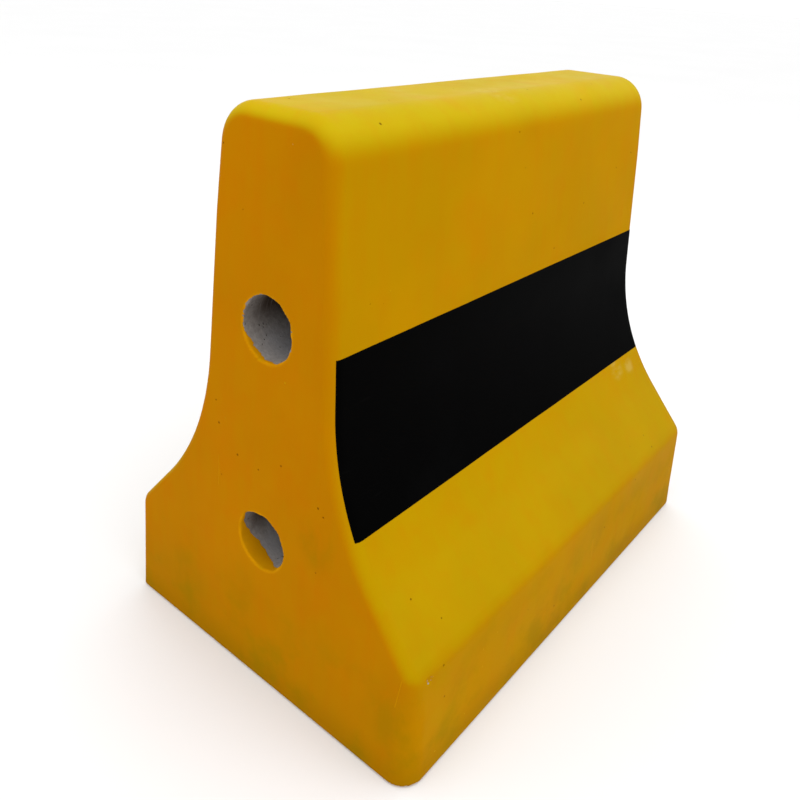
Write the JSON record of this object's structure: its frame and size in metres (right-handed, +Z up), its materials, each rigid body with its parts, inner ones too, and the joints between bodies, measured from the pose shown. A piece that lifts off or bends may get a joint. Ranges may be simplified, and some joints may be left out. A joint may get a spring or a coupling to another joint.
{
  "type": "concrete isolation pier",
  "caption": "Short precast concrete barrier block with a flared profile, painted yellow with a black side band, and pipe holes from end to end.",
  "frame": {"origin": "middle of the base, on the ground", "axes": "+X along the block and its pipe holes, +Y across it towards the rear long side, +Z up"},
  "size_m": [0.6, 0.4, 0.57],
  "materials": {
    "painted_concrete": "satin yellow road paint on cast concrete",
    "black_film": "matt black",
    "ribbed_bar": "mill scale with light rust",
    "plain_bar": "mill scale with light rust",
    "tie_wire": "black annealed wire"
  },
  "bodies": {
    "root": {"concrete_block": "painted_concrete", "front_band": "black_film", "rear_band": "black_film", "top_bar_front": "ribbed_bar", "top_bar_rear": "ribbed_bar", "waist_bar_front": "ribbed_bar", "waist_bar_rear": "ribbed_bar", "shoulder_bar_front": "ribbed_bar", "shoulder_bar_rear": "ribbed_bar", "base_bar_front": "ribbed_bar", "base_bar_middle": "ribbed_bar", "base_bar_rear": "ribbed_bar", "link_1": "plain_bar", "link_2": "plain_bar", "link_3": "plain_bar", "link_4": "plain_bar", "base_tie_1": "plain_bar", "base_tie_2": "plain_bar", "base_tie_3": "plain_bar", "base_tie_4": "plain_bar", "tie_wires": "tie_wire"}
  },
  "joints": []
}
